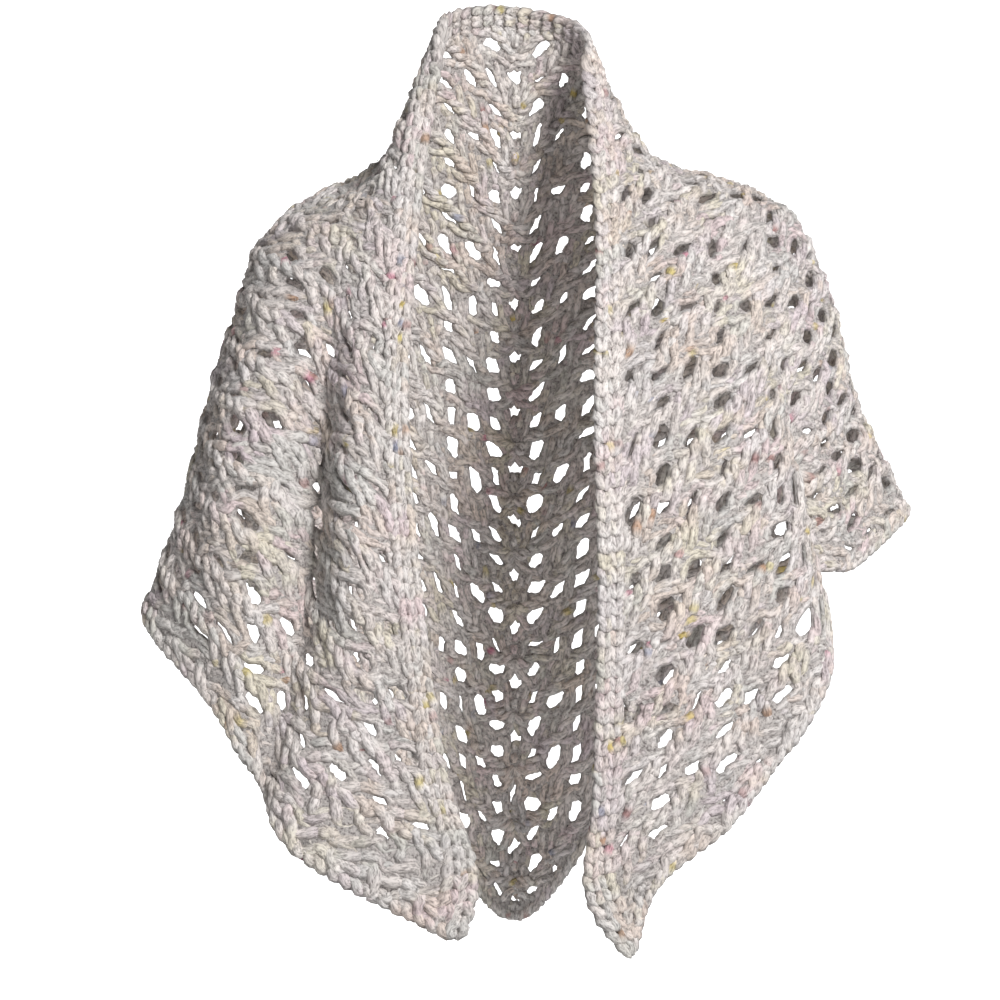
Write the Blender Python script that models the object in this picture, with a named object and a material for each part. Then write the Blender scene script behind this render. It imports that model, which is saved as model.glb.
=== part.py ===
"""Crocheted openwork triangular shawl, worn round the shoulders with its two tips hanging in front.

Metres, +Z up, the front faces -Y. The origin is the middle of the neck hollow at shoulder level.
The shawl is described laid flat first: `a` runs along the long edge from the centre back (0) to a
tip, and `b` runs from the long edge down to the back point. `worn` then hangs each flat point on the
shoulders, so every piece is cut flat, keeps its real size and follows the same folds.
"""

import math

import bmesh
import bpy
import numpy as np

HALF_EDGE = 0.81  # centre back to a tip, along the long edge
DEPTH = 0.74  # long edge to the back point
NECK_HALF = 0.10  # half of the stretch that goes round the back of the neck
BAND_WIDE, BAND_THICK = 0.016, 0.0064  # two chains side by side
HEM_WIDE, HEM_THICK = 0.008, 0.0060
NET_THICK = 0.004  # the cloth's wall, without the tops of its strands
SEAM = 0.0008  # laid flat, which is about 0.3 mm where the worn cloth is drawn together
HEM_SEAM = 0.0009
ROWS = 32  # steps of the net from the back point to either end, one per row of holes
HOLE_SHARE = 0.78  # a hole's side over its lattice cell's side

# Where the cloth hangs. Each row is one straight line of the flat cloth, from the neck to the hem,
# turned by `angle` degrees from the left front edge (0) through the centre back (90) to the right
# front edge (180). The columns are places along that line, in mm: x, y, z.
ALONG = (0.0, 0.2, 0.4, 0.6, 0.8, 0.9, 1.0)
SECTIONS = (
    # angle, neck, one fifth, two fifths, three fifths,
    # four fifths, nine tenths, hem
    (0, (-56, 5, 138), (-74, -55, 4), (-82, -107, -129), (-73, -128, -271),
     (-55, -126, -413), (-40, -124, -483), (-45, -120, -551)),
    (9, (-56, 14, 142), (-87, -38, 40), (-116, -84, -66), (-134, -119, -200),
     (-143, -126, -330), (-155, -124, -402), (-172, -118, -476)),
    (18, (-54, 22, 146), (-92, -17, 60), (-140, -56, -32), (-176, -90, -142),
     (-202, -102, -258), (-214, -100, -320), (-224, -95, -381)),
    (27, (-51, 30, 149), (-95, 0, 58), (-162, -20, -22), (-213, -38, -116),
     (-245, -48, -218), (-263, -46, -266), (-285, -40, -318)),
    (34, (-47, 35, 151), (-96, 14, 57), (-170, 14, -18), (-222, 8, -100),
     (-248, 3, -198), (-260, 3, -250), (-273, 6, -302)),
    (48, (-37, 45, 154), (-88, 50, 66), (-158, 68, 0), (-203, 82, -85),
     (-224, 90, -185), (-232, 92, -238), (-240, 92, -290)),
    (62, (-25, 52, 156), (-60, 72, 56), (-108, 96, -28), (-138, 108, -130),
     (-154, 112, -242), (-160, 110, -299), (-166, 108, -355)),
    (76, (-13, 57, 157), (-30, 80, 34), (-56, 106, -80), (-73, 114, -203),
     (-84, 112, -327), (-89, 108, -389), (-93, 104, -450)),
    (90, (0, 58, 156), (0, 86, 6), (0, 110, -140), (0, 114, -288),
     (0, 108, -436), (0, 103, -510), (0, 98, -584)),
    (101, (11, 57, 154), (26, 82, 30), (50, 107, -88), (68, 114, -214),
     (82, 112, -340), (89, 108, -401), (96, 104, -462)),
    (112, (22, 54, 152), (50, 74, 50), (98, 98, -40), (134, 108, -140),
     (158, 108, -250), (169, 106, -306), (179, 104, -362)),
    (124, (32, 49, 149), (80, 52, 66), (160, 62, 8), (214, 76, -70),
     (241, 85, -168), (253, 87, -219), (264, 88, -270)),
    (136, (42, 42, 145), (90, 20, 60), (178, 12, 14), (237, 10, -53),
     (265, 14, -149), (286, 20, -192), (311, 30, -240)),
    (147, (49, 34, 141), (94, 0, 56), (170, -22, -2), (216, -35, -80),
     (236, -28, -178), (249, -24, -227), (263, -20, -277)),
    (154, (53, 28, 136), (92, -16, 48), (148, -52, -28), (192, -84, -112),
     (216, -88, -197), (224, -80, -240), (233, -71, -281)),
    (161, (55, 21, 131), (86, -30, 40), (128, -78, -50), (168, -104, -150),
     (203, -113, -252), (216, -112, -302), (232, -110, -355)),
    (171, (56, 12, 122), (77, -43, 18), (96, -94, -92), (116, -119, -214),
     (139, -124, -336), (150, -122, -396), (164, -119, -456)),
    (176, (55, 7, 118), (69, -56, 0), (77, -106, -121), (88, -123, -254),
     (98, -125, -388), (101, -123, -450), (106, -118, -508)),
    (180, (54, 2, 112), (62, -66, -16), (60, -116, -148), (63, -126, -290),
     (60, -124, -432), (59, -121, -504), (89, -116, -566)),
)

# Folds: the angle of the fold's line at its upper and its lower end, how far down each end is, the
# half width and the depth in mm. A depth under 0 is a trough.
FOLDS = (
    # upper angle, lower angle, starts, ends, half width, depth
    (14.5, 12, 0.31, 0.99, 30, -44),  # the valley between the left arm and the chest
    (13, 12, 0.52, 1.30, 22, -19),  # its lower end, which runs on to the hem
    (7, 5.5, 0.38, 0.96, 15, 8),  # its ridge on the chest side
    (25, 20, 0.40, 0.99, 22, 8),  # its ridge on the arm side
    (152, 153, 0.46, 1.30, 19, -22),  # the valley between the right arm and the chest
    (170, 166, 0.55, 1.30, 20, -8),
    (42, 41, 0.40, 1.40, 22, -14),  # the spare width that hangs down the back
    (55, 55, 0.40, 1.40, 24, 14),
    (68, 69, 0.40, 1.40, 24, -14),
    (82, 83, 0.40, 1.40, 26, 12),
    (96, 96, 0.40, 1.40, 26, -13),
    (107, 107, 0.40, 1.40, 24, 13),
    (118, 118, 0.40, 1.40, 22, -13),
    (129, 129, 0.40, 1.40, 22, 11),
)

# Where the cloth as a whole sits further out or in: the middle's angle and share of the line's
# length, the half widths of both, and the distance out in mm.
DIPS = (
    # angle, share, half angle, half share, out
    (34, 0.27, 20, 0.08, -14),  # the hollow between neck and left shoulder
    (31, 0.44, 16, 0.09, 17),  # the point of the left shoulder
    (138, 0.28, 18, 0.07, -12),  # the hollow between neck and right shoulder
    (138, 0.49, 14, 0.07, 9),  # the point of the right shoulder
)

# The front edges swing aside above each tip: the edge's angle, the share of its length, the half widths
# of both, and the distance to +X in mm.
SWINGS = ((0, 0.93, 8, 0.06, 8), (180, 0.92, 8, 0.06, -6))
FOLD_RISE = 0.5  # the share of the line over which a fold that runs to the hem deepens

# One ring of a trim: share of its width from the free side, then share of half its thickness.
BAND_RING = (
    (0, 0), (0.05, 0.8), (0.17, 1), (0.33, 0.6), (0.5, 1), (0.67, 0.6),
    (0.83, 1), (0.93, 0.8), (1, 0), (0.83, -1), (0.5, -1), (0.17, -1),
)
HEM_RING = (
    (0, 0), (0.18, 0.75), (0.5, 1), (0.80, 0.75), (1, 0), (0.80, -0.75), (0.5, -1), (0.18, -0.75),
)


def spline(at, knots):
    """How much each knot counts at each place of a smooth curve through unevenly spaced knots."""
    knots = np.array(knots, float)
    values = np.eye(len(knots))
    slopes = np.empty_like(values)
    slopes[1:-1] = (values[2:] - values[:-2]) / (knots[2:] - knots[:-2])[:, None]
    slopes[0] = (values[1] - values[0]) / (knots[1] - knots[0])
    slopes[-1] = (values[-1] - values[-2]) / (knots[-1] - knots[-2])
    i = np.clip(np.searchsorted(knots, at, side="right") - 1, 0, len(knots) - 2)
    gap = knots[i + 1] - knots[i]
    u = (at - knots[i]) / gap
    return (
        ((2 * u - 3) * u * u + 1)[:, None] * values[i]
        + (((u - 2) * u + 1) * u * gap)[:, None] * slopes[i]
        + ((3 - 2 * u) * u * u)[:, None] * values[i + 1]
        + ((u - 1) * u * u * gap)[:, None] * slopes[i + 1]
    )


def rays(a, b):
    """Each flat point's line from the neck: its angle, and the way along it in metres and as a share."""
    low, high = np.full(len(a), -1.0), np.full(len(a), 1.0)
    for _ in range(44):
        turn = (low + high) / 2
        short = NECK_HALF * turn + b * np.tan(np.pi / 2 * turn) < a
        low, high = np.where(short, turn, low), np.where(short, high, turn)
    lean = np.pi / 2 * turn
    reach = np.hypot(a - NECK_HALF * turn, b)
    longest = DEPTH * (1 - NECK_HALF / HALF_EDGE * abs(turn))
    longest /= np.cos(lean) + DEPTH / HALF_EDGE * np.sin(abs(lean))
    return 90 + 90 * turn, reach, reach / longest


def hung(a, b):
    """Flat points on the sections' smooth surface, without the folds."""
    angle, _, share = rays(a, b)
    places = np.array([row[1:] for row in SECTIONS], float) / 1000
    at_angle = spline(angle, [row[0] for row in SECTIONS])
    return np.einsum("ns,nk,skc->nc", at_angle, spline(share, ALONG), places)


def outward(surface, a, b):
    """The unit direction out of a surface at flat points, from small steps along it."""
    e = 0.002
    b = np.maximum(b, e)
    out = np.cross(surface(a + e, b) - surface(a - e, b), surface(a, b + e) - surface(a, b - e))
    return out / np.linalg.norm(out, axis=1)[:, None]


def folded(a, b):
    angle, reach, share = rays(a, b)
    lift = np.zeros(len(a))
    for upper, lower, start, end, half_width, depth in FOLDS:
        t = np.clip((share - start) / (end - start), 0, 1)
        off = np.radians(angle - (upper + (lower - upper) * t)) * reach / (half_width / 1000)
        if end < 1:
            rise = np.sin(np.pi * t) ** 2
        else:  # it runs on through the hem
            rise = np.sin(np.pi / 2 * np.clip((share - start) / FOLD_RISE, 0, 1)) ** 2
        lift += depth / 1000 * np.exp(-off * off) * rise
    for at_angle, at_share, half_angle, half_share, out in DIPS:
        far = ((angle - at_angle) / half_angle) ** 2 + ((share - at_share) / half_share) ** 2
        lift += out / 1000 * np.exp(-far)
    spot = hung(a, b) + outward(hung, a, b) * lift[:, None]
    for at_angle, at_share, half_angle, half_share, aside in SWINGS:
        far = ((angle - at_angle) / half_angle) ** 2 + ((share - at_share) / half_share) ** 2
        spot[:, 0] += aside / 1000 * np.exp(-far)
    return spot


def worn(a, b, out):
    """Flat points hung on the shoulders, each `out` metres proud of the cloth's middle."""
    a, b, out = (np.array(x, float) for x in (a, b, out))
    return folded(a, b) + outward(folded, a, b) * out[:, None]


def node(name, bm, colour, roughness):
    mesh = bpy.data.meshes.new(name)
    bmesh.ops.recalc_face_normals(bm, faces=bm.faces)
    bm.to_mesh(mesh)
    bm.free()
    obj = bpy.data.objects.new(name, mesh)
    bpy.context.scene.collection.objects.link(obj)
    material = bpy.data.materials.new(name)
    material.use_nodes = True
    shader = material.node_tree.nodes["Principled BSDF"]
    shader.inputs["Base Color"].default_value = (*colour, 1)
    shader.inputs["Roughness"].default_value = roughness
    mesh.materials.append(material)
    return obj


def crochet_net():
    """A triangle of cells that stand on their corners, with the largest hole of each repeat cut through."""
    wide = HALF_EDGE - (BAND_WIDE + SEAM) * HALF_EDGE / DEPTH
    wide -= (HEM_WIDE + HEM_SEAM) * math.hypot(HALF_EDGE, DEPTH) / DEPTH
    deep = wide * DEPTH / HALF_EDGE
    bm = bmesh.new()
    for side in (-1, 1):
        half = bmesh.new()
        bmesh.ops.create_grid(half, x_segments=ROWS, y_segments=2 * ROWS, size=1)
        for v in half.verts:  # x counts rows towards the hem, y counts cells along a row
            v.co = ((v.co.x + 1) * ROWS / 2, v.co.y * ROWS, 0)
        for cut in ((1, 1, 0), (1, -1, 0)):  # the long edge, then the centre back
            everything = half.verts[:] + half.edges[:] + half.faces[:]
            bmesh.ops.bisect_plane(
                half, geom=everything, dist=1e-4, plane_co=(0, 0, 0), plane_no=cut, clear_inner=True
            )
        holes = []
        for face in half.faces:
            middle = face.calc_center_median()
            out, down = (middle.x - middle.y) / 2, (middle.x + middle.y - 1) / 2
            whole = len(face.verts) == 4 and abs(out - round(out)) < 0.01
            if whole and round(out) % 2 and round(down) % 2:
                holes.append(face)
                for v in face.verts:
                    v.co = middle + (v.co - middle) * HOLE_SHARE
        bmesh.ops.delete(half, geom=holes, context="FACES_ONLY")
        for v in half.verts:
            down = BAND_WIDE + SEAM + (v.co.x + v.co.y) / 2 / ROWS * deep
            v.co = (side * (v.co.x - v.co.y) / 2 / ROWS * wide, down, 0)
        if side < 0:
            bmesh.ops.reverse_faces(half, faces=half.faces[:])
        flat = bpy.data.meshes.new("half")
        half.to_mesh(flat)
        half.free()
        bm.from_mesh(flat)
        bpy.data.meshes.remove(flat)
    bmesh.ops.remove_doubles(bm, verts=bm.verts[:], dist=1e-5)
    grown = bmesh.ops.extrude_face_region(bm, geom=bm.faces[:], use_keep_orig=True)["geom"]
    outer = {v for v in grown if isinstance(v, bmesh.types.BMVert)}
    out = [NET_THICK / 2 if v in outer else -NET_THICK / 2 for v in bm.verts]
    flat_a, flat_b = [v.co.x for v in bm.verts], [v.co.y for v in bm.verts]
    for v, co in zip(bm.verts, worn(flat_a, flat_b, out)):
        v.co = co
    return node("net", bm, (0.80, 0.77, 0.72), 0.95)


def trim(name, free, joined, ring, thick, colour):
    """A closed strip between two flat lines, one ring of points for each pair of places on them."""
    free, joined = np.array(free), np.array(joined)
    rings, around = len(free), len(ring)
    bm = bmesh.new()
    bmesh.ops.create_grid(bm, x_segments=rings - 1, y_segments=around, size=1)
    spots = [
        (round((v.co.x + 1) / 2 * (rings - 1)), round((v.co.y + 1) / 2 * around) % around)
        for v in bm.verts
    ]
    flat = np.array([free[i] + (joined[i] - free[i]) * ring[k][0] for i, k in spots])
    out = np.array([ring[k][1] * thick / 2 for _, k in spots])
    for v, co in zip(bm.verts, worn(flat[:, 0], flat[:, 1], out)):
        v.co = co
    bmesh.ops.remove_doubles(bm, verts=bm.verts[:], dist=1e-5)
    bmesh.ops.holes_fill(bm, edges=[e for e in bm.edges if e.is_boundary], sides=0)
    return node(name, bm, colour, 0.9)


def long_edge_band():
    """Two chains along the whole long edge. Its ends are cut along the hem."""
    places = np.linspace(-HALF_EDGE, HALF_EDGE, 4 * ROWS + 1)
    free, joined = [], []
    for a in places:
        end = max(0.0, abs(a) - (HALF_EDGE - 0.05)) / 0.05
        lean = end * end * BAND_WIDE * HALF_EDGE / DEPTH
        free.append((a, 0))
        joined.append((a - math.copysign(lean, a), BAND_WIDE))
    return trim("long_edge_band", free, joined, BAND_RING, BAND_THICK, (0.83, 0.80, 0.75))


def hem_edging():
    """One chain along both hems, from tip to tip round the back point, joined to the net's last row."""
    side = math.hypot(HALF_EDGE, DEPTH)
    inner = HALF_EDGE - (BAND_WIDE + SEAM) * HALF_EDGE / DEPTH - HEM_WIDE * side / DEPTH
    steps = 2 * ROWS
    free, joined = [], []
    for way in (-1, 1):
        for k in range(steps + 1) if way < 0 else range(1, steps + 1):
            t = k / steps if way > 0 else 1 - k / steps  # 0 at the back point, 1 at the tip
            a, b = inner * t, BAND_WIDE + SEAM + inner * DEPTH / HALF_EDGE * (1 - t)
            square = min(1.0, t * steps / 2, (1 - t) * steps / 2)  # under 1 next to a corner
            tip, point = (1 - square) * (t > 0.5), (1 - square) * (t < 0.5)
            out_a = a + HEM_WIDE * (square * DEPTH / side + tip * side / DEPTH)
            out_b = b + HEM_WIDE * (square * HALF_EDGE / side + point * side / HALF_EDGE)
            joined.append((way * a, b))
            free.append((way * out_a, out_b))
    return trim("hem_edging", free, joined, HEM_RING, HEM_THICK, (0.82, 0.79, 0.74))


for old in list(bpy.data.objects):
    bpy.data.objects.remove(old)
crochet_net()
long_edge_band()
hem_edging()
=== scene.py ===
import math

import bmesh
import bpy
import numpy as np
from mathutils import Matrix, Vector


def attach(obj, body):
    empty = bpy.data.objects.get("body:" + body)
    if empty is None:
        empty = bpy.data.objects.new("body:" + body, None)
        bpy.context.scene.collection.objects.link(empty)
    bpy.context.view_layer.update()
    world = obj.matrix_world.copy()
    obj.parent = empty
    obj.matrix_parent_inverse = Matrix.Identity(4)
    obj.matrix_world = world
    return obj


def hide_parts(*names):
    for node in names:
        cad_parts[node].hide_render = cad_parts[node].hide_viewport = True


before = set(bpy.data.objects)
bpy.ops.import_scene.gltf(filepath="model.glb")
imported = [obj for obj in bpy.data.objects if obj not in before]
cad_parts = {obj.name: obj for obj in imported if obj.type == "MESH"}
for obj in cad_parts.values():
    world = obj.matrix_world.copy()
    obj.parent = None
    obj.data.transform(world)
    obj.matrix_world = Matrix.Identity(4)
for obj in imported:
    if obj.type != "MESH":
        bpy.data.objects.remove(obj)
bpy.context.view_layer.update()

# ------------------------------------------------------------------------------------------------
# Net, the matted layer: the shawl is one flat triangle, crocheted in rows that run parallel to the
# two hems, and worn round the neck. Where the fluffy strands lie against each other their fibres mat
# into a thin layer, which is open at every hole. It is grey, darker than the yarn: painted shade
# where it shows in the gaps between the strands.
# `a` runs along the flat triangle's long edge from the centre back, and `b` from that edge down to
# the back point. The worn shape is a table of lines that are straight on the flat cloth.
# ------------------------------------------------------------------------------------------------
HALF_EDGE, DEPTH = 0.81, 0.74  # half of the long edge, and from it to the back point
NECK_HALF = 0.10  # half of the stretch that goes round the back of the neck
BAND_WIDE, HEM_WIDE = 0.016, 0.008
ROWS = 32  # rows of holes from the middle of the long edge to a hem
# Half of the net's own long side, and its depth: the triangle inside the band and the hem edging.
NET_WIDE = HALF_EDGE - BAND_WIDE * HALF_EDGE / DEPTH - HEM_WIDE * math.hypot(HALF_EDGE, DEPTH) / DEPTH
NET_DEEP = NET_WIDE * DEPTH / HALF_EDGE
CELL = math.hypot(NET_WIDE, NET_DEEP) / 2 / ROWS  # a cell's side, along a row
CELL_AREA = NET_WIDE * NET_DEEP / 2 / ROWS**2
MAT_THICK = 0.0032
MAT_RIM = 0.04  # how far the mat reaches into a hole, as a share of a cell

# Each entry is one such line from neck to hem, turned by its angle in degrees from the left front
# edge (0) through the centre back (90) to the right front edge (180). ALONG has the shares of the
# line at which its seven places lie, and each place is x, y, z in mm.
ALONG = (0.0, 0.2, 0.4, 0.6, 0.8, 0.9, 1.0)
SECTIONS = (
    # angle, neck, one fifth, two fifths, three fifths, four fifths, nine tenths, hem
    (0, (-56, 5, 138), (-74, -55, 4), (-82, -107, -129), (-73, -128, -271),
     (-55, -126, -413), (-40, -124, -483), (-45, -120, -551)),
    (9, (-56, 14, 142), (-87, -38, 40), (-116, -84, -66), (-134, -119, -200),
     (-143, -126, -330), (-155, -124, -402), (-172, -118, -476)),
    (18, (-54, 22, 146), (-92, -17, 60), (-140, -56, -32), (-176, -90, -142),
     (-202, -102, -258), (-214, -100, -320), (-224, -95, -381)),
    (27, (-51, 30, 149), (-95, 0, 58), (-162, -20, -22), (-213, -38, -116),
     (-245, -48, -218), (-263, -46, -266), (-285, -40, -318)),
    (34, (-47, 35, 151), (-96, 14, 57), (-170, 14, -18), (-222, 8, -100),
     (-248, 3, -198), (-260, 3, -250), (-273, 6, -302)),
    (48, (-37, 45, 154), (-88, 50, 66), (-158, 68, 0), (-203, 82, -85),
     (-224, 90, -185), (-232, 92, -238), (-240, 92, -290)),
    (62, (-25, 52, 156), (-60, 72, 56), (-108, 96, -28), (-138, 108, -130),
     (-154, 112, -242), (-160, 110, -299), (-166, 108, -355)),
    (76, (-13, 57, 157), (-30, 80, 34), (-56, 106, -80), (-73, 114, -203),
     (-84, 112, -327), (-89, 108, -389), (-93, 104, -450)),
    (90, (0, 58, 156), (0, 86, 6), (0, 110, -140), (0, 114, -288),
     (0, 108, -436), (0, 103, -510), (0, 98, -584)),
    (101, (11, 57, 154), (26, 82, 30), (50, 107, -88), (68, 114, -214),
     (82, 112, -340), (89, 108, -401), (96, 104, -462)),
    (112, (22, 54, 152), (50, 74, 50), (98, 98, -40), (134, 108, -140),
     (158, 108, -250), (169, 106, -306), (179, 104, -362)),
    (124, (32, 49, 149), (80, 52, 66), (160, 62, 8), (214, 76, -70),
     (241, 85, -168), (253, 87, -219), (264, 88, -270)),
    (136, (42, 42, 145), (90, 20, 60), (178, 12, 14), (237, 10, -53),
     (265, 14, -149), (286, 20, -192), (311, 30, -240)),
    (147, (49, 34, 141), (94, 0, 56), (170, -22, -2), (216, -35, -80),
     (236, -28, -178), (249, -24, -227), (263, -20, -277)),
    (154, (53, 28, 136), (92, -16, 48), (148, -52, -28), (192, -84, -112),
     (216, -88, -197), (224, -80, -240), (233, -71, -281)),
    (161, (55, 21, 131), (86, -30, 40), (128, -78, -50), (168, -104, -150),
     (203, -113, -252), (216, -112, -302), (232, -110, -355)),
    (171, (56, 12, 122), (77, -43, 18), (96, -94, -92), (116, -119, -214),
     (139, -124, -336), (150, -122, -396), (164, -119, -456)),
    (176, (55, 7, 118), (69, -56, 0), (77, -106, -121), (88, -123, -254),
     (98, -125, -388), (101, -123, -450), (106, -118, -508)),
    (180, (54, 2, 112), (62, -66, -16), (60, -116, -148), (63, -126, -290),
     (60, -124, -432), (59, -121, -504), (89, -116, -566)),
)
# Folds: the angle of the fold's line at its upper and its lower end, the share of the line where it
# starts and ends, the half width and the depth in mm. A depth under 0 is a trough, and a fold that
# ends past 1 runs on to the hem.
FOLDS = (
    # upper angle, lower angle, starts, ends, half width, depth
    (14.5, 12, 0.31, 0.99, 30, -44),  # the valley between the left arm and the chest
    (13, 12, 0.52, 1.30, 22, -19),  # its lower end, which runs on to the hem
    (7, 5.5, 0.38, 0.96, 15, 8),  # its ridge on the chest side
    (25, 20, 0.40, 0.99, 22, 8),  # its ridge on the arm side
    (152, 153, 0.46, 1.30, 19, -22),  # the valley between the right arm and the chest
    (170, 166, 0.55, 1.30, 20, -8),
    (42, 41, 0.40, 1.40, 22, -14),  # the spare width that hangs down the back
    (55, 55, 0.40, 1.40, 24, 14),
    (68, 69, 0.40, 1.40, 24, -14),
    (82, 83, 0.40, 1.40, 26, 12),
    (96, 96, 0.40, 1.40, 26, -13),
    (107, 107, 0.40, 1.40, 24, 13),
    (118, 118, 0.40, 1.40, 22, -13),
    (129, 129, 0.40, 1.40, 22, 11),
)
# Where the cloth sits further out or in: angle, share of the line, the reach in both, and mm out.
DIPS = (
    # angle, share, half angle, half share, out
    (34, 0.27, 20, 0.08, -14),  # the hollow between neck and left shoulder
    (31, 0.44, 16, 0.09, 17),  # the point of the left shoulder
    (138, 0.28, 18, 0.07, -12),  # the hollow between neck and right shoulder
    (138, 0.49, 14, 0.07, 9),  # the point of the right shoulder
)
# The front edges swing aside above each tip: angle, share of the line, the reach in that share, mm.
SWINGS = ((0, 0.93, 0.06, 8), (180, 0.92, 0.06, -6))
SWING_ANGLE = 8  # how far a swing reaches in from the front edge, in degrees


def spline(at, knots):
    """How much each knot counts at each place of a smooth curve through unevenly spaced knots."""
    knots = np.array(knots, float)
    values = np.eye(len(knots))
    slopes = np.empty_like(values)
    slopes[1:-1] = (values[2:] - values[:-2]) / (knots[2:] - knots[:-2])[:, None]
    slopes[0] = (values[1] - values[0]) / (knots[1] - knots[0])
    slopes[-1] = (values[-1] - values[-2]) / (knots[-1] - knots[-2])
    i = np.clip(np.searchsorted(knots, at, side="right") - 1, 0, len(knots) - 2)
    gap = knots[i + 1] - knots[i]
    u = (at - knots[i]) / gap
    return (
        ((2 * u - 3) * u * u + 1)[:, None] * values[i]
        + (((u - 2) * u + 1) * u * gap)[:, None] * slopes[i]
        + ((3 - 2 * u) * u * u)[:, None] * values[i + 1]
        + ((u - 1) * u * u * gap)[:, None] * slopes[i + 1]
    )


def facing(spots):
    """Unit directions out of a grid of spots, rows along b and columns along a."""
    out = np.cross(np.gradient(spots, axis=1), np.gradient(spots, axis=0))
    return out / np.linalg.norm(out, axis=2)[:, :, None]


# The worn shape, worked out once on a fine grid of the flat cloth. `turn` is a place's line, from -1
# at the left front edge to 1 at the right one, and is found by halving.
GRID = 0.003
GRID_HALF, GRID_DEEP = 0.828, 0.756
HALVINGS = 40
LAST_SHARE = 1.1  # the worn shape goes this far along each line, a little past the hem
FOLD_OPENS = 0.5  # the share of the line in which a fold that runs on to the hem comes up
GRID_OVER = 3  # how many steps of the grid a place may lie outside the long edge
DRAWN_OUT = (0.9, 1.5)  # how much a strand is scaled with the worn cloth, at least and at most
columns, rows = np.arange(-GRID_HALF, GRID_HALF + GRID / 2, GRID), np.arange(0, GRID_DEEP + GRID / 2, GRID)
grid_a, grid_b = np.meshgrid(columns, rows)
low, high = np.full(grid_a.shape, -1.0), np.full(grid_a.shape, 1.0)
for _ in range(HALVINGS):
    turn = (low + high) / 2
    short = NECK_HALF * turn + grid_b * np.tan(np.pi / 2 * turn) < grid_a
    low, high = np.where(short, turn, low), np.where(short, high, turn)
lean = np.pi / 2 * turn
reach = np.hypot(grid_a - NECK_HALF * turn, grid_b)
longest = DEPTH * (1 - NECK_HALF / HALF_EDGE * abs(turn))
longest /= np.cos(lean) + DEPTH / HALF_EDGE * np.sin(abs(lean))
angle, share = 90 + 90 * turn, np.minimum(reach / longest, LAST_SHARE)
places = np.array([row[1:] for row in SECTIONS], float) / 1000
at_angle = spline(angle.ravel(), [row[0] for row in SECTIONS])
at_share = spline(share.ravel(), ALONG)
hang = np.einsum("ns,nk,skc->nc", at_angle, at_share, places).reshape(grid_a.shape + (3,))
lift = np.zeros(grid_a.shape)
for upper, lower, start, end, half_width, depth in FOLDS:
    t = np.clip((share - start) / (end - start), 0, 1)
    off = np.radians(angle - (upper + (lower - upper) * t)) * reach / (half_width / 1000)
    closes = np.sin(np.pi * t) ** 2
    stays = np.sin(np.pi / 2 * np.clip((share - start) / FOLD_OPENS, 0, 1)) ** 2
    lift += depth / 1000 * np.exp(-off * off) * (closes if end < 1 else stays)
for at, part, half_angle, half_part, out in DIPS:
    lift += out / 1000 * np.exp(-(((angle - at) / half_angle) ** 2) - ((share - part) / half_part) ** 2)
hang += facing(hang) * lift[:, :, None]
for at, part, half_part, aside in SWINGS:
    beside = ((angle - at) / SWING_ANGLE) ** 2
    hang[:, :, 0] += aside / 1000 * np.exp(-beside - ((share - part) / half_part) ** 2)
grown = np.cross(np.gradient(hang, GRID, axis=1), np.gradient(hang, GRID, axis=0))
width = np.sqrt(np.linalg.norm(grown, axis=2, keepdims=True))  # how far the cloth is drawn out there
fields = np.concatenate([hang, facing(hang), width], axis=2)


def worn(a, b):
    """Where flat places hang, the unit directions out of the cloth there, and how far it is drawn out."""
    col = np.clip((a - grid_a[0, 0]) / GRID, 0, grid_a.shape[1] - 1.001)
    row = np.clip(b / GRID, -GRID_OVER, grid_a.shape[0] - 1.001)
    i, j = np.maximum(row.astype(int), 0), col.astype(int)
    u, v = (row - i)[..., None], (col - j)[..., None]
    upper = (1 - v) * fields[i, j] + v * fields[i, j + 1]
    lower = (1 - v) * fields[i + 1, j] + v * fields[i + 1, j + 1]
    here = (1 - u) * upper + u * lower
    out = here[..., 3:6] / np.linalg.norm(here[..., 3:6], axis=-1)[..., None]
    return here[..., :3], out, np.clip(here[..., 6], *DRAWN_OUT)


def flat_place(x, y):
    """A place of the net's lattice as flat a and b. x counts rows to the right hem, y to the left."""
    return NET_WIDE * (x - y) / 2 / ROWS, BAND_WIDE + NET_DEEP * (x + y) / 2 / ROWS


def is_hole(x, y):
    """Every other cell of the lattice is a hole, and one in four of those is left filled."""
    return ((x - y) % 2 == 0) & ~((x % 2 == 0) & ((x - y) % 4 == 0))


def drawn_out(x, y, along_x, along_y):
    """How far the worn cloth is drawn out in one direction of the lattice."""
    ahead = worn(*flat_place(x + along_x / 2, y + along_y / 2))[0]
    behind = worn(*flat_place(x - along_x / 2, y - along_y / 2))[0]
    return np.linalg.norm(ahead - behind, axis=-1) / CELL


chance = np.random.default_rng(20)  # the one source of chance for every piece
HOLE_AT_NECK = 0.82  # how wide the holes are there, over their width at the hems
HOLE_AT_HEM_ROW, HOLE_AT_TIP = 0.62, 0.55  # how much of their width is left in these places
TIP_STARTS, TIP_LONG = 0.84, 0.1  # where the holes get narrower, as shares of the way to a tip
HOLE_SPREAD = (0.8, 1.45)  # by chance, over their usual width
HOLE_EVENED = (0.65, 2)  # how far the holes' widths make up for how the worn cloth is drawn out
HOLE_WIDEST = 1.6  # over their width in the even lattice
HOLE_SLANT, HOLE_SHIFT = 0.3, 0.09  # the most by chance, in cells
PULL_REACH = 1.05  # how far from its middle a hole draws the net aside, in cells
PULL_FADES = 0.6  # the last stretch of that, in which it fades out
hole_cells = np.arange(-ROWS - 1, ROWS + 3)
middle_x, middle_y = np.meshgrid(hole_cells + 0.5, hole_cells + 0.5, indexing="ij")
near_hem = np.maximum(middle_x, middle_y) / ROWS
near_tip = np.clip((abs(middle_x - middle_y) / 2 / ROWS - TIP_STARTS) / TIP_LONG, 0, 1)
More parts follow.
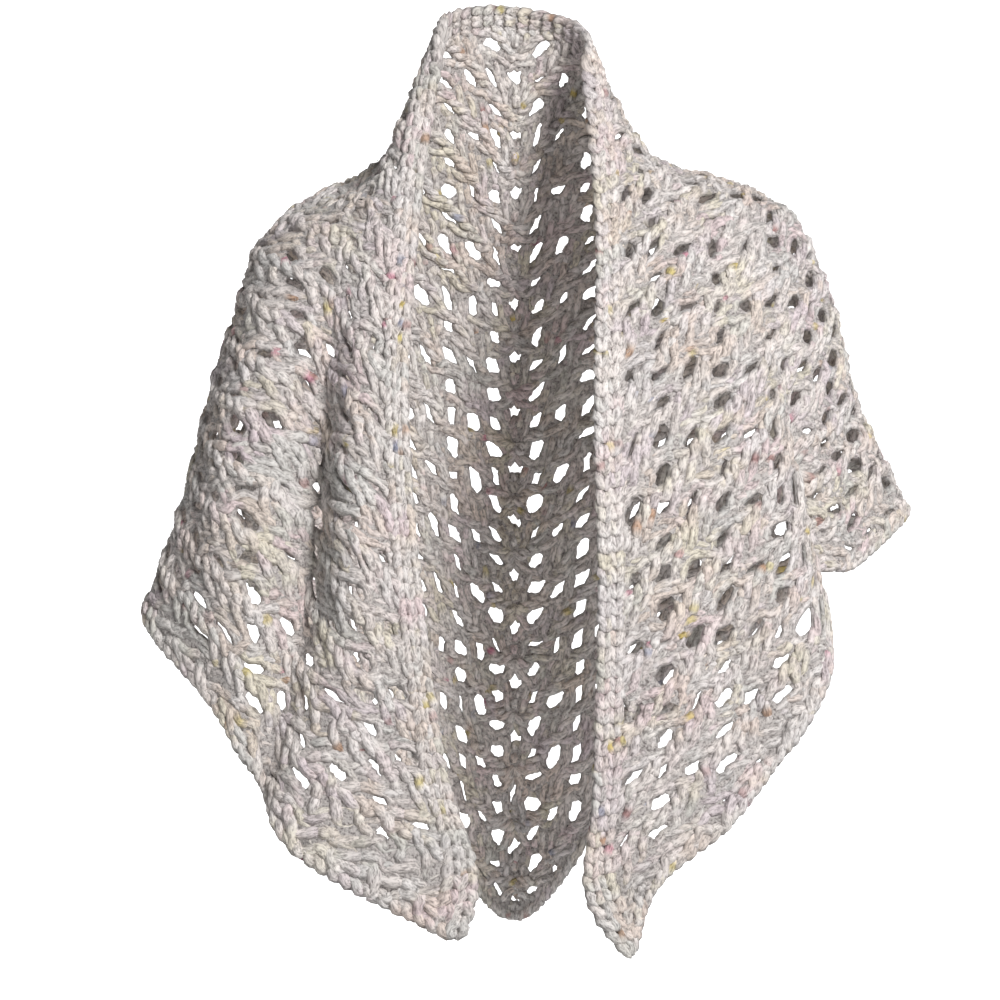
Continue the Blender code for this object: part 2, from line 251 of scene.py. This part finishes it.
hole_size = HOLE_AT_NECK + (1 - HOLE_AT_NECK) * np.clip(near_hem, 0, 1)
in_hem_row = near_hem > (ROWS - 1) / ROWS
hole_size *= np.where(in_hem_row, HOLE_AT_HEM_ROW, 1) * (1 - (1 - HOLE_AT_TIP) * near_tip)
drawn = [drawn_out(middle_x, middle_y, *way) for way in ((1, 0), (0, 1))]
hole_wide = hole_size * chance.uniform(*HOLE_SPREAD, (2, *hole_size.shape)) / np.clip(drawn, *HOLE_EVENED)
hole_wide = np.minimum(hole_wide, HOLE_WIDEST) - 1
hole_slant = chance.uniform(-HOLE_SLANT, HOLE_SLANT, (2, *hole_size.shape))
hole_shift = chance.uniform(-HOLE_SHIFT, HOLE_SHIFT, (2, *hole_size.shape))


def fit_holes(x, y):
    """Draws the net aside round its holes, each to its own width, slant and place."""
    moved_x, moved_y = x.copy(), y.copy()
    for i in (-1, 0, 1):
        for j in (-1, 0, 1):
            cell_x, cell_y = np.floor(x).astype(int) + i, np.floor(y).astype(int) + j
            m = np.clip(cell_x + ROWS + 1, 0, 2 * ROWS + 3)
            n = np.clip(cell_y + ROWS + 1, 0, 2 * ROWS + 3)
            off_x, off_y = x - cell_x - 0.5, y - cell_y - 0.5
            far = (abs(off_x) ** 3 + abs(off_y) ** 3) ** (1 / 3)
            near = np.clip((PULL_REACH - far) / PULL_FADES, 0, 1)
            near = near * near * (3 - 2 * near) * is_hole(cell_x, cell_y)
            wide, slant, shift = hole_wide[:, m, n], hole_slant[:, m, n], hole_shift[:, m, n]
            moved_x += near * (wide[0] * off_x + slant[0] * off_y + shift[0])
            moved_y += near * (wide[1] * off_y + slant[1] * off_x + shift[1])
    return moved_x, moved_y


def shown(name, mesh, material, node):
    """Adds a finished mesh as a piece that stands for a solid of the frame."""
    mesh.materials.append(material)
    mesh.shade_smooth()
    piece = bpy.data.objects.new(name, mesh)
    bpy.context.scene.collection.objects.link(piece)
    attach(piece, "root")
    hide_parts(node)
    return piece


def yarn(name, colour, mottled):
    """Fluffy cotton yarn in one colour or the mesh's own tint, mottled that much by painted shade between
    fibres.
    """
    material = bpy.data.materials.new(name)
    material.use_nodes = True
    nodes, link = material.node_tree.nodes, material.node_tree.links.new
    shader = nodes["Principled BSDF"]
    shader.inputs["Roughness"].default_value = 0.95
    shader.inputs["Specular IOR Level"].default_value = 0.2
    shader.inputs["Sheen Weight"].default_value = 0.25
    shader.inputs["Sheen Roughness"].default_value = 0.5
    fibres = nodes.new("ShaderNodeTexNoise")
    fibres.inputs["Scale"].default_value = 1.0
    fibres.inputs["Detail"].default_value = 4.0
    fibres.inputs["Roughness"].default_value = 0.62
    stretch = nodes.new("ShaderNodeMapping")
    if colour:
        place = nodes.new("ShaderNodeTexCoord").outputs["Object"]
        stretch.inputs["Scale"].default_value = (500, 500, 500)
    else:
        along = nodes.new("ShaderNodeAttribute")
        along.attribute_name = "fibre"
        place = along.outputs["Vector"]
        stretch.inputs["Scale"].default_value = (240, 560, 560)
    link(place, stretch.inputs["Vector"])
    link(stretch.outputs["Vector"], fibres.inputs["Vector"])
    # Painted shade between the fibres: the colour darkens to grey where the fine noise is low.
    shade = nodes.new("ShaderNodeValToRGB")
    between, lit = shade.color_ramp.elements
    between.position, between.color = 0.34, (0.30, 0.285, 0.285, 1)
    lit.position, lit.color = 0.56, (1, 1, 1, 1)
    link(fibres.outputs["Fac"], shade.inputs["Fac"])
    mix = nodes.new("ShaderNodeMix")
    mix.data_type, mix.blend_type = "RGBA", "MULTIPLY"
    mix.inputs["Factor"].default_value = mottled
    if colour:
        mix.inputs["A"].default_value = (*colour, 1)
    else:
        tint = nodes.new("ShaderNodeAttribute")
        tint.attribute_name = "tint"
        link(tint.outputs["Color"], mix.inputs["A"])
    link(shade.outputs["Color"], mix.inputs["B"])
    link(mix.outputs["Result"], shader.inputs["Base Color"])
    bump = nodes.new("ShaderNodeBump")
    bump.inputs["Strength"].default_value = 0.8
    bump.inputs["Distance"].default_value = 0.0014
    link(fibres.outputs["Fac"], bump.inputs["Height"])
    link(bump.outputs["Normal"], shader.inputs["Normal"])
    return material


mat = bmesh.new()
bmesh.ops.create_grid(mat, x_segments=2 * ROWS, y_segments=2 * ROWS, size=ROWS)
everything = mat.verts[:] + mat.edges[:] + mat.faces[:]
bmesh.ops.bisect_plane(
    mat, geom=everything, dist=1e-4, plane_co=(0, 0, 0), plane_no=(1, 1, 0), clear_inner=True
)
middles = [f.calc_center_median() for f in mat.faces]
holes = [f for f, m in zip(mat.faces[:], middles) if is_hole(math.floor(m.x), math.floor(m.y))]
bmesh.ops.inset_individual(mat, faces=holes, thickness=MAT_RIM)
bmesh.ops.delete(mat, geom=holes, context="FACES_ONLY")
bmesh.ops.subdivide_edges(mat, edges=mat.edges[:], cuts=1, use_grid_fill=True)
OFF_EDGE = 0.05  # cells: the points nearer to the net's own edges than this aren't rims of holes
rims = [
    v for v in mat.verts
    if v.is_boundary and v.co.x + v.co.y > OFF_EDGE and max(v.co.x, v.co.y) < ROWS - OFF_EDGE
]
bmesh.ops.smooth_vert(mat, verts=rims, factor=0.5, use_axis_x=True, use_axis_y=True)
x, y = np.array([v.co[:2] for v in mat.verts]).T
x, y = fit_holes(x, y)
for v, spot in zip(mat.verts, worn(*flat_place(x, y))[0]):
    v.co = spot
mat_mesh = bpy.data.meshes.new("net_mat")
mat.to_mesh(mat_mesh)
mat.free()
# Grey, darker than the cream yarn: painted shade for the gaps between the strands, where the mat shows.
MAT_SHADE_COLOUR = (0.56, 0.52, 0.50)
shaded_matted_yarn = yarn("shaded_matted_yarn", MAT_SHADE_COLOUR, 1.0)
net_mat = shown("net_mat", mat_mesh, shaded_matted_yarn, "net")
wall = net_mat.modifiers.new("Wall", "SOLIDIFY")
wall.thickness, wall.offset = MAT_THICK, 0

# ------------------------------------------------------------------------------------------------
# Net, the stitches: chunky fluffy cotton, hand-dyed in pale patches with small bright flecks. Along
# each row's line runs a chain of two strands that twist round each other. Between two lines lie two
# more strands, which cross in every filled cell and part round every hole.
# ------------------------------------------------------------------------------------------------
YARN_THICK = 0.0061  # before a strand is flattened
SIDES = 5  # round a strand
STEPS = 16  # along a length of yarn, which is about two cells
FLAT = 1.18  # a strand lies wider by this factor, and thinner by it
RIB = 0.04  # by how much of its radius each second step is thicker, and each one between is thinner
LUMP = 0.08  # how much of its radius each step varies by chance
END_THICK = 0.6  # a length's thickness at both ends, over the rest
FIBRES_START = 9  # metres: a length's pattern of fibres starts somewhere in this, by chance
CREAM = (0.83, 0.765, 0.73)
DYES = (
    (0.82, 0.66, 0.67),  # pale pink
    (0.74, 0.65, 0.68),  # lilac
    (0.82, 0.76, 0.61),  # pale yellow
    (0.71, 0.70, 0.67),  # grey-green
    (0.82, 0.70, 0.62),  # peach
    (0.85, 0.81, 0.79),  # white
)
DYE_PATCH = 0.019  # how far apart a dye's levels are set by chance
DYE_ROWS, DYE_COLUMNS = 42, 90
DYE_FROM_A, DYE_FROM_B = -0.85, -0.02  # the flat place of the first level
DYE_OVER, DYE_RISE, DYE_MOST = 0.58, 3, 0.75  # the level where a dye shows, its rise and its most
DYE_PLACES = chance.random((len(DYES), DYE_ROWS, DYE_COLUMNS))
DYE_BLUR = 0.006  # how far beside its own place a length takes its dyes from, by chance
TINT_SPREAD = 0.05  # how much lighter or darker each step is by chance
FLECKS = (
    (0.62, 0.47, 0.08),  # mustard
    (0.66, 0.54, 0.14),  # yellow
    (0.60, 0.16, 0.27),  # magenta
    (0.50, 0.27, 0.14),  # rust
    (0.36, 0.14, 0.13),  # dark red
    (0.30, 0.33, 0.46),  # blue
)
FLECKED = 0.10  # the share of lengths with a saturated fleck
FLECK_STRENGTH = (0.5, 1)  # by chance, over its own colours
FLECK_STEPS = ((-1, 0.3), (0, 0.85), (1, 0.75), (2, 0.25))  # steps from its middle, and how strong there
CREVICE = 0.0028  # nearer than this to the middle of the cloth, shade is painted on the yarn
CREVICE_SHADE = 0.55  # and at the middle, the painted shade darkens it by this share


def dyed(a, b):
    """The yarn's colour at flat places: cream, with soft patches of each dye."""
    col, row = (a - DYE_FROM_A) / DYE_PATCH, np.maximum(b - DYE_FROM_B, 0) / DYE_PATCH
    j, i = np.clip(col.astype(int), 0, DYE_COLUMNS - 2), np.clip(row.astype(int), 0, DYE_ROWS - 2)
    v, u = np.clip(col - j, 0, 1), np.clip(row - i, 0, 1)
    v, u = v * v * (3 - 2 * v), u * u * (3 - 2 * u)
    colour = np.broadcast_to(np.array(CREAM), a.shape + (3,))
    for dye, f in zip(DYES, DYE_PLACES):
        upper = f[i, j] * (1 - v) + f[i, j + 1] * v
        lower = f[i + 1, j] * (1 - v) + f[i + 1, j + 1] * v
        level = upper * (1 - u) + lower * u
        amount = np.clip((level - DYE_OVER) * DYE_RISE, 0, DYE_MOST)[..., None]
        colour = colour * (1 - amount) + np.array(dye) * amount
    return colour


def point_values(mesh, name, kind, part, values):
    """Stores a value for each point of a mesh, for its material to read."""
    values = values.astype(np.float32).ravel()
    mesh.attributes.new(name, kind, "POINT").data.foreach_set(part, values)


LENGTHS_APART = 4  # before they are laid, where each is 2 across


def yarn_lengths(name, count, steps, sides, end=1):
    """Straight lengths of yarn in one mesh, and each point's length, step and angle round it."""
    bm = bmesh.new()
    bmesh.ops.create_cone(bm, cap_ends=True, segments=sides, radius1=1, radius2=end, depth=1)
    if steps > 1:
        long_edges = [e for e in bm.edges if abs(e.verts[0].co.z - e.verts[1].co.z) > 0.5]
        bmesh.ops.subdivide_edges(bm, edges=long_edges, cuts=steps - 1, use_grid_fill=True)
    single = bpy.data.meshes.new(name)
    bm.to_mesh(single)
    bm.free()
    maker = bpy.data.objects.new(name, single)
    bpy.context.scene.collection.objects.link(maker)
    repeat = maker.modifiers.new("Repeat", "ARRAY")
    repeat.count = count
    repeat.use_relative_offset, repeat.use_constant_offset = False, True
    repeat.constant_offset_displace = (LENGTHS_APART, 0, 0)
    bpy.context.view_layer.update()
    mesh = bpy.data.meshes.new_from_object(maker.evaluated_get(bpy.context.evaluated_depsgraph_get()))
    bpy.data.objects.remove(maker)
    bpy.data.meshes.remove(single)
    co = np.empty(len(mesh.vertices) * 3)
    mesh.vertices.foreach_get("co", co)
    co = co.reshape(-1, 3)
    length = np.round(co[:, 0] / LENGTHS_APART).astype(int)
    step = np.round((co[:, 2] + 0.5) * steps).astype(int)
    around = np.arctan2(co[:, 1], co[:, 0] - LENGTHS_APART * length)
    return mesh, length, step, around


def lay_yarn(name, a, b, out, thick):
    """A mesh of yarn from a row of flat places, and of heights out of the cloth, for each length."""
    count, rings = a.shape
    mesh, length, step, around = yarn_lengths(name, count, rings - 1, SIDES)
    spots, outward, wide = worn(a, b)
    spots = spots + outward * out[..., None]
    run = np.gradient(spots, axis=1)
    pace = np.linalg.norm(run, axis=2)[..., None]
    run /= pace
    across = np.cross(outward, run)
    across /= np.linalg.norm(across, axis=2)[..., None]
    up = np.cross(run, across)
    uneven = 1 + RIB * (-1) ** np.arange(rings) + LUMP * chance.standard_normal((count, rings))
    radius = wide * thick / 2 * uneven
    radius[:, [0, -1]] *= END_THICK
    cos, sin = np.cos(around)[:, None], np.sin(around)[:, None]
    r = radius[length, step][:, None]
    co = spots[length, step] + r * (FLAT * cos * across[length, step] + sin / FLAT * up[length, step])
    mesh.vertices.foreach_set("co", co.astype(np.float32).ravel())
    along = np.cumsum(pace[..., 0], axis=1) + chance.uniform(0, FIBRES_START, count)[:, None]
    fibre = np.column_stack([along[length, step], r[:, 0] * cos[:, 0], r[:, 0] * sin[:, 0]])
    point_values(mesh, "fibre", "FLOAT_VECTOR", "vector", fibre)
    tint = dyed(a + chance.normal(0, DYE_BLUR, (count, 1)), b + chance.normal(0, DYE_BLUR, (count, 1)))
    tint = tint * (1 + TINT_SPREAD * chance.standard_normal((count, rings, 1)))
    fleck = np.flatnonzero(chance.random(count) < FLECKED)
    middle = chance.integers(1, rings - 2, len(fleck))
    hue = np.array(FLECKS)[chance.integers(0, len(FLECKS), len(fleck))]
    bright = chance.uniform(*FLECK_STRENGTH, (len(fleck), 1))
    for beside, strength in FLECK_STEPS:
        there = tint[fleck, middle + beside]
        tint[fleck, middle + beside] = there + (hue - there) * strength * bright
    # Painted shade: the yarn's colour is darkened in the crevices, the nearer it lies to the middle of the
    # cloth.
    height = abs(out[length, step] + r[:, 0] * sin[:, 0])
    outer = np.clip(height / CREVICE, 0, 1)
    shade = 1 - CREVICE_SHADE * (1 - outer * outer * (3 - 2 * outer))
    colour = np.column_stack([tint[length, step] * shade[:, None], np.ones(len(length))])
    point_values(mesh, "tint", "FLOAT_COLOR", "color", colour)
    mesh.update()
    return mesh


def lengths_on(row, reach, count):
    """A line of the net, from -reach to reach cells, as lengths of yarn that overlap by a step."""
    size = 2 * reach / count
    t = np.linspace(-0.5 / STEPS, 1 + 0.5 / STEPS, STEPS + 1)
    return np.full((count, STEPS + 1), float(row)), -reach + size * (np.arange(count)[:, None] + t)


WAVER_PACE = (1.2, 3.2)  # radians in a cell


def wavering(cell, size):
    """A slow drift of one strand along its line, the same where two of its lengths meet."""
    pace, start = chance.uniform(*WAVER_PACE, 2), chance.uniform(0, 6, 2)
    return size * (np.sin(pace[0] * cell + start[0]) + np.sin(2 * pace[1] * cell + start[1]))


CHAIN_SPREAD, CHAIN_TWIST = 0.0024, 0.0014  # from a chain's middle to each strand: sideways, and out
CHAIN_TURNS = 1.5  # half turns in a cell
CHAIN_OUT = 0.0010  # how far a chain lies to its row's own side
CROSS_OVER = 0.0015  # how far a strand rises where it crosses another
PARTED, PARTED_AT_HOLE = 0.24, 0.42  # from the middle of a row to each of its two strands, in rows
WAVER_ROW, WAVER_CELL = 0.03, 0.02  # a strand's drift across its row and along it, in cells
WAVER_OUT = 0.0003  # and out of the cloth
net_yarn = yarn("net_yarn", None, 0.9)
every_cell = np.arange(-ROWS - 2, ROWS + 3)
strands = []
for side in (-1, 1):
    for k in range(ROWS + 1):
        way = (-1) ** k  # the work is turned at each row's end, so the twist changes hand
        hole = is_hole(np.full(len(every_cell), k), every_cell)
        crossed = np.cumsum(~hole)
        for strand in (-1, 1) if k < ROWS else ():
            row, cell = lengths_on(k + 0.5, k + 0.5, k + 1)
            c = np.floor(cell).astype(int) + ROWS + 2
            u = cell - np.floor(cell)
            turn = math.pi * (crossed[c] - ~hole[c] * (1 - u))
            apart = PARTED + np.where(hole[c], (PARTED_AT_HOLE - PARTED) * np.sin(math.pi * u), 0)
            row += strand * apart * np.cos(turn) + wavering(cell, WAVER_ROW)
            out = way * strand * CROSS_OVER * np.sin(turn) + wavering(cell, WAVER_OUT)
            strands.append((side, row, cell + wavering(row, WAVER_CELL), out))
        start = chance.uniform(0, 2 * math.pi)
        for strand in (0, 1) if k else ():
            row, cell = lengths_on(k, k, k)
            turn = start + math.pi * (CHAIN_TURNS * cell + strand)
            row += CHAIN_SPREAD / CELL * np.cos(turn) + wavering(cell, WAVER_ROW)
            out = way * (CHAIN_TWIST * np.sin(turn) + CHAIN_OUT) + wavering(cell, WAVER_OUT)
            strands.append((side, row, cell, out))
laid = []
for side, row, cell, out in strands:
    x, y = fit_holes(row, cell) if side > 0 else fit_holes(cell, row)
    laid.append((*flat_place(x, y), out))
a, b, out = (np.concatenate(part) for part in zip(*laid))
parting = np.median(abs(a).mean(axis=1))
middle = a.mean(axis=1)
for name, chosen in (
    ("net_left_front", middle < -parting),
    ("net_left_back", (middle >= -parting) & (middle < 0)),
    ("net_right_back", (middle >= 0) & (middle < parting)),
    ("net_right_front", middle >= parting),
):
    mesh = lay_yarn(name, a[chosen], b[chosen], out[chosen], YARN_THICK)
    shown(name, mesh, net_yarn, "net")

# ------------------------------------------------------------------------------------------------
# Net, the fluff: loose ends of the cotton's fibres, which spring from the stitches' strands all over
# and lie along them and beside them. Each is a thin spike in the dyes of its own place.
# ------------------------------------------------------------------------------------------------
FIBRES = 26000
FIBRE_LONG, FIBRE_ROOT = (0.003, 0.007), 0.0003  # its length, and its radius at the root
FIBRE_FROM = 0.45  # how far from the middle of the yarn it springs, over the yarn's thickness
AIM_OUT, AIM_SPREAD = 0.5, 0.5  # how much it leans out and by chance, over how much it runs along
NOT_PARALLEL = 0.01  # keeps the side of a fibre that points straight out of the cloth defined


def fluff_on(name, a, b, out, count):
    """Loose fibres that spring from lengths of yarn and lie over them, in one mesh."""
    length, step = chance.integers(0, len(a), count), chance.integers(1, a.shape[1] - 1, count)
    spots, outward, _ = worn(a, b)
    spots = spots + outward * out[..., None]
    run = (spots[:, 2:] - spots[:, :-2])[length, step - 1]
    run /= np.linalg.norm(run, axis=1)[:, None]
    spot, normal = spots[length, step], outward[length, step]
    beside = np.cross(normal, run)
    turned = chance.uniform(0, 2 * math.pi, (count, 1))
    away = np.cos(turned) * beside + np.sin(turned) * normal
    root = spot + YARN_THICK * FIBRE_FROM * away
    aim = run * chance.choice((-1, 1), (count, 1)) + away * AIM_OUT
    aim += AIM_SPREAD * chance.standard_normal((count, 3))
    aim /= np.linalg.norm(aim, axis=1)[:, None]
    side = np.cross(aim, normal + NOT_PARALLEL)
    side /= np.linalg.norm(side, axis=1)[:, None]
    other = np.cross(aim, side)
    mesh, fibre, end, around = yarn_lengths(name, count, 1, 3, 0)
    reach = chance.uniform(*FIBRE_LONG, (count, 1))
    thick = (1 - end[:, None]) * FIBRE_ROOT
    co = root[fibre] + aim[fibre] * reach[fibre] * end[:, None]
    co += thick * (np.cos(around)[:, None] * side[fibre] + np.sin(around)[:, None] * other[fibre])
    mesh.vertices.foreach_set("co", co.astype(np.float32).ravel())
    colour = np.column_stack([dyed(a[length, step], b[length, step])[fibre], np.ones(len(fibre))])
    point_values(mesh, "tint", "FLOAT_COLOR", "color", colour)
    point_values(mesh, "fibre", "FLOAT_VECTOR", "vector", co)
    mesh.update()
    return mesh


mesh = fluff_on("net_fluff", a, b, out, FIBRES)
net_fluff = shown("net_fluff", mesh, net_yarn, "net")

# ------------------------------------------------------------------------------------------------
# Long-edge band: two braided chains side by side along the whole long edge, in the same yarn. Each
# stitch is a pair of legs that spring from inside the stitch before, and the rows' ends push the
# outer chain into shallow scallops.
# ------------------------------------------------------------------------------------------------
BAND_YARN = 0.0067  # before a strand is flattened
CHAIN_PITCH = 0.0115
CHAINS = 2
LEG_STEPS = 8
LEG_LONG = 1.55  # pitches
LEG_ASIDE, LEG_BULGE = 0.0005, 0.0032  # from its chain's middle at the ends, and how much more between
LEG_FULL = 0.8  # a power under 1, which makes a leg widest before its middle
LEG_RISE = 0.0021  # a leg starts behind the middle of the cloth, and rises this far in front of it
LEG_SURFACES = 0.3  # the share of a leg where it comes through the middle
LEG_ALONG_SPREAD, LEG_ASIDE_SPREAD = 0.0005, 0.0003  # by chance
SCALLOP = 0.0011
TIP_GAP = 0.004  # how far the outer chain and the mat stop short of the hem's edge at each tip
edging_yarn = yarn("edging_yarn", None, 0.9)
t = np.linspace(0, 1, LEG_STEPS + 1)[None, :]
legs = []
for chain in range(CHAINS):
    middle_b = BAND_WIDE * (chain + 0.5) / CHAINS
    reach = HALF_EDGE * (1 - middle_b / DEPTH) - (TIP_GAP if chain == 0 else HEM_WIDE)
    starts = np.linspace(-reach, reach - LEG_LONG * CHAIN_PITCH, round(2 * reach / CHAIN_PITCH))
    for leg in (-1, 1):
        along = starts[:, None] + LEG_LONG * CHAIN_PITCH * t
        a = along + chance.normal(0, LEG_ALONG_SPREAD, (len(starts), 1))
        b = middle_b + leg * (LEG_ASIDE + LEG_BULGE * np.sin(math.pi * t**LEG_FULL))
        b = b + chance.normal(0, LEG_ASIDE_SPREAD, a.shape)
        b = b - (chain == 0) * SCALLOP * np.sin(math.pi * a / CELL) ** 2
        out = LEG_RISE * np.sin(math.pi * (t - LEG_SURFACES)) + 0 * a
        legs.append((a, b, out))
a, b, out = (np.concatenate(part) for part in zip(*legs))
mesh = lay_yarn("band_chains", a, b, out, BAND_YARN)
band_chains = shown("band_chains", mesh, edging_yarn, "long_edge_band")


BAND_MAT_FROM = 0.001  # how far in from the long edge the mat starts
BAND_MAT_THICK, BAND_MAT_PLACES = 0.0016, 257


def edge_mat(name, first, last, places, thick, node):
    """The matted layer under an edging, grey as painted shade: a strip between two flat lines."""
    bm = bmesh.new()
    bmesh.ops.create_grid(bm, x_segments=places - 1, y_segments=3, size=0.5)
    t, across = np.array([v.co[:2] for v in bm.verts]).T + 0.5
    ends = [np.array(line(t)) for line in (first, last)]
    a, b = ends[0] * (1 - across) + ends[1] * across
    for v, spot in zip(bm.verts, worn(a, b)[0]):
        v.co = spot
    mesh = bpy.data.meshes.new(name)
    bm.to_mesh(mesh)
    bm.free()
    strip = shown(name, mesh, shaded_matted_yarn, node)
    wall = strip.modifiers.new("Wall", "SOLIDIFY")
    wall.thickness, wall.offset = thick, 0
    return strip


def long_edge(inset):
    """The line that many metres in from the long edge."""
    reach = HALF_EDGE - inset * HALF_EDGE / DEPTH - TIP_GAP
    return lambda t: (reach * (2 * t - 1), inset + 0 * t)


lines = long_edge(BAND_MAT_FROM), long_edge(BAND_WIDE)
band_mat = edge_mat("band_mat", *lines, BAND_MAT_PLACES, BAND_MAT_THICK, "long_edge_band")

# ------------------------------------------------------------------------------------------------
# Hem edging: one chain of the same yarn along both hems, from tip to tip round the back point. It is
# worked into the net's last row. Its two strands twist round each other over a thin matted strip.
# ------------------------------------------------------------------------------------------------
HEM_ROW = ROWS + HEM_WIDE / 2 / (CELL_AREA / CELL)  # where the chain lies, in rows of the net
HEM_TWIST = 0.0017  # from the chain's middle to each strand
HEM_TURNS = 1.7  # half turns in a cell
ROUND_TIP = 1.0  # how many cells the chain runs on past the net, along the band's end
PAST_POINT = 0.1  # and past the back point, where the chains of both hems meet
HEM_MAT_ROW = ROWS - 0.2  # where the mat starts, in rows of the net
HEM_MAT_THICK, HEM_MAT_PLACES = 0.0024, 200


def hem_line(row, side):
    """A line beside one hem: the right one for a side of 1, the left one for -1."""
    def places(t):
        cell = row * (1 - 2 * t)
        return flat_place(row + 0 * cell, cell) if side > 0 else flat_place(-cell, row + 0 * cell)

    return places


twisted = []
for side in (-1, 1):
    for strand in (0, 1):
        row, cell = lengths_on(HEM_ROW, HEM_ROW + ROUND_TIP, ROWS + 1)
        cell[-1] = np.linspace(cell[-1, 0], HEM_ROW + PAST_POINT, STEPS + 1)
        turn = math.pi * (HEM_TURNS * cell + strand)
        row += HEM_TWIST / CELL * np.cos(turn)
        a, b = flat_place(row, cell) if side > 0 else flat_place(cell, row)
        twisted.append((a, b, HEM_TWIST * np.sin(turn)))
a, b, out = (np.concatenate(part) for part in zip(*twisted))
mesh = lay_yarn("hem_chain", a, b, out, YARN_THICK)
hem_chain = shown("hem_chain", mesh, edging_yarn, "hem_edging")
for end, side in (("left", -1), ("right", 1)):
    lines = hem_line(HEM_MAT_ROW, side), hem_line(HEM_ROW, side)
    strip = edge_mat(f"hem_mat_{end}", *lines, HEM_MAT_PLACES, HEM_MAT_THICK, "hem_edging")

# ------------------------------------------------------------------------------------------------
# Studio: a pale paper floor that sweeps up all round, a soft key light from the front on the right,
# a faint fill from the left, a light on the paper behind, and the camera.
# ------------------------------------------------------------------------------------------------
FLOOR_Z, FLOOR_RADIUS, SWEEP = -1.35, 5.0, 2.5
SWEEP_STEPS, FLOOR_STEPS = 12, 64
floor = bmesh.new()
profile = [floor.verts.new((0, 0, FLOOR_Z)), floor.verts.new((FLOOR_RADIUS, 0, FLOOR_Z))]
for k in range(1, SWEEP_STEPS + 1):
    bend = k * math.pi / 2 / SWEEP_STEPS
    across, up = SWEEP * math.sin(bend), SWEEP * (1 - math.cos(bend))
    profile.append(floor.verts.new((FLOOR_RADIUS + across, 0, FLOOR_Z + up)))
edges = [floor.edges.new(pair) for pair in zip(profile, profile[1:])]
bmesh.ops.spin(
    floor, geom=profile + edges, cent=(0, 0, 0), axis=(0, 0, 1), angle=2 * math.pi,
    steps=FLOOR_STEPS, use_merge=True
)
bmesh.ops.remove_doubles(floor, verts=floor.verts[:], dist=1e-4)
bmesh.ops.recalc_face_normals(floor, faces=floor.faces[:])
floor_mesh = bpy.data.meshes.new("studio_floor")
floor.to_mesh(floor_mesh)
floor.free()
floor_mesh.shade_smooth()
studio_floor = bpy.data.objects.new("studio_floor", floor_mesh)
bpy.context.scene.collection.objects.link(studio_floor)
paper = bpy.data.materials.new("pale_paper")
paper.use_nodes = True
paper.node_tree.nodes["Principled BSDF"].inputs["Base Color"].default_value = (0.9, 0.9, 0.9, 1)
paper.node_tree.nodes["Principled BSDF"].inputs["Roughness"].default_value = 0.9
floor_mesh.materials.append(paper)


def soft_light(name, place, target, size, power):
    """A round soft light of that width in metres and power in watts, turned to its target."""
    light = bpy.data.lights.new(name, "AREA")
    light.shape, light.size, light.energy = "DISK", size, power
    lamp = bpy.data.objects.new(name, light)
    lamp.location = place
    lamp.rotation_euler = (Vector(target) - Vector(place)).to_track_quat("-Z", "Y").to_euler()
    bpy.context.scene.collection.objects.link(lamp)


SHAWL_MIDDLE = (0, 0, -0.2)
soft_light("key", (1.15, -2.4, 1.15), SHAWL_MIDDLE, 0.8, 86)
soft_light("fill", (-2.2, -2.0, 0.6), SHAWL_MIDDLE, 1.6, 2)
soft_light("backdrop", (0, 2.6, 2.4), (0, 6.5, -0.8), 3.0, 420)
world = bpy.data.worlds.new("studio")
world.use_nodes = True
world.node_tree.nodes["Background"].inputs["Color"].default_value = (1, 1, 1, 1)
world.node_tree.nodes["Background"].inputs["Strength"].default_value = 0.16
bpy.context.scene.world = world
bpy.context.scene.view_settings.view_transform = "Standard"

VIEW_TARGET = (-0.012, 0, -0.226)
VIEW_DISTANCE, VIEW_HEIGHT = 2.2, math.radians(5)
HALF_FRAME, FOCAL_LENGTH = 500, 2820.5  # in pixels of the 1000 x 1000 frame
VIEW_ANGLE = 2 * math.atan(HALF_FRAME / FOCAL_LENGTH)
camera_data = bpy.data.cameras.new("camera")
camera_data.angle = VIEW_ANGLE
camera = bpy.data.objects.new("camera", camera_data)
camera.location = (
    VIEW_TARGET[0],
    VIEW_TARGET[1] - VIEW_DISTANCE * math.cos(VIEW_HEIGHT),
    VIEW_TARGET[2] + VIEW_DISTANCE * math.sin(VIEW_HEIGHT),
)
camera.rotation_euler = (math.pi / 2 - VIEW_HEIGHT, 0, 0)
bpy.context.scene.collection.objects.link(camera)
bpy.context.scene.camera = camera
